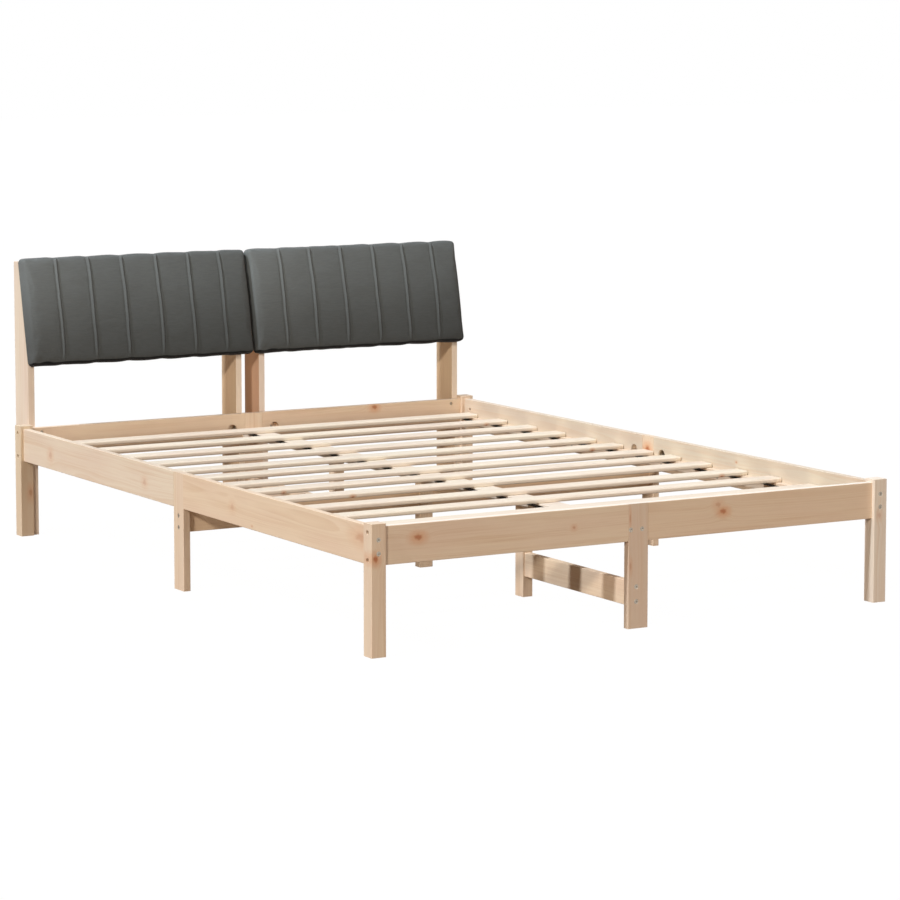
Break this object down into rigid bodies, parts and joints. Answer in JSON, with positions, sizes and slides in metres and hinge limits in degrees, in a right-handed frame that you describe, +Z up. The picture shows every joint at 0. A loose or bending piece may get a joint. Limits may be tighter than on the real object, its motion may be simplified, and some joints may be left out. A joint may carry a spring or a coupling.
{
  "type": "bed frame",
  "caption": "Low pine double bed frame with slatted base and a leaning channelled padded headboard in dark grey.",
  "frame": {"origin": "on the floor under the middle of the whole bed, headboard included", "axes": "+X to the right seen from the foot, +Y from the foot to the head, +Z up"},
  "size_m": [1.455, 2.1364, 0.7647],
  "materials": {
    "frame_pine": "clear matt lacquered pine, oiled look",
    "slat_pine": "planed unfinished pine",
    "webbing": "black woven webbing",
    "upholstery": "dark grey fine woven cover with sewn ridges",
    "plywood": "raw plywood",
    "dowel_wood": "fluted hardwood",
    "zinc_steel": "bright zinc plated"
  },
  "bodies": {
    "root": {"mid_leg_foot": "frame_pine", "mid_leg_head": "frame_pine", "mid_leg_left": "frame_pine", "mid_leg_right": "frame_pine", "centre_leg": "frame_pine", "quarter_leg_foot": "frame_pine", "quarter_leg_head": "frame_pine", "stretcher_foot": "frame_pine", "stretcher_head": "frame_pine", "centre_beam_foot": "frame_pine", "centre_beam_head": "frame_pine", "cross_beam_left": "frame_pine", "cross_beam_right": "frame_pine", "corner_leg_foot_left": "frame_pine", "foot_rail_left": "frame_pine", "side_rail_left_foot": "frame_pine", "ledge_left_foot": "frame_pine", "corner_leg_foot_right": "frame_pine", "foot_rail_right": "frame_pine", "side_rail_right_foot": "frame_pine", "ledge_right_foot": "frame_pine", "corner_leg_head_left": "frame_pine", "head_rail_left": "frame_pine", "side_rail_left_head": "frame_pine", "ledge_left_head": "frame_pine", "corner_leg_head_right": "frame_pine", "head_rail_right": "frame_pine", "side_rail_right_head": "frame_pine", "ledge_right_head": "frame_pine", "headboard_post_1": "frame_pine", "headboard_post_2": "frame_pine", "headboard_post_3": "frame_pine", "headboard_post_4": "frame_pine", "slat_01": "slat_pine", "slat_02": "slat_pine", "slat_03": "slat_pine", "slat_04": "slat_pine", "slat_05": "slat_pine", "slat_06": "slat_pine", "slat_07": "slat_pine", "slat_08": "slat_pine", "slat_09": "slat_pine", "slat_10": "slat_pine", "slat_11": "slat_pine", "slat_12": "slat_pine", "slat_13": "slat_pine", "straps": "webbing", "cushion_left": "upholstery", "cushion_right": "upholstery", "cushion_board_left": "plywood", "cushion_board_right": "plywood", "dowels": "dowel_wood", "corner_bolts": "zinc_steel", "barrel_nuts": "zinc_steel", "joint_studs": "zinc_steel", "joint_nuts": "zinc_steel", "joint_washers": "zinc_steel", "beam_screws": "zinc_steel", "wood_screws": "zinc_steel", "cushion_bolts": "zinc_steel"}
  },
  "joints": []
}
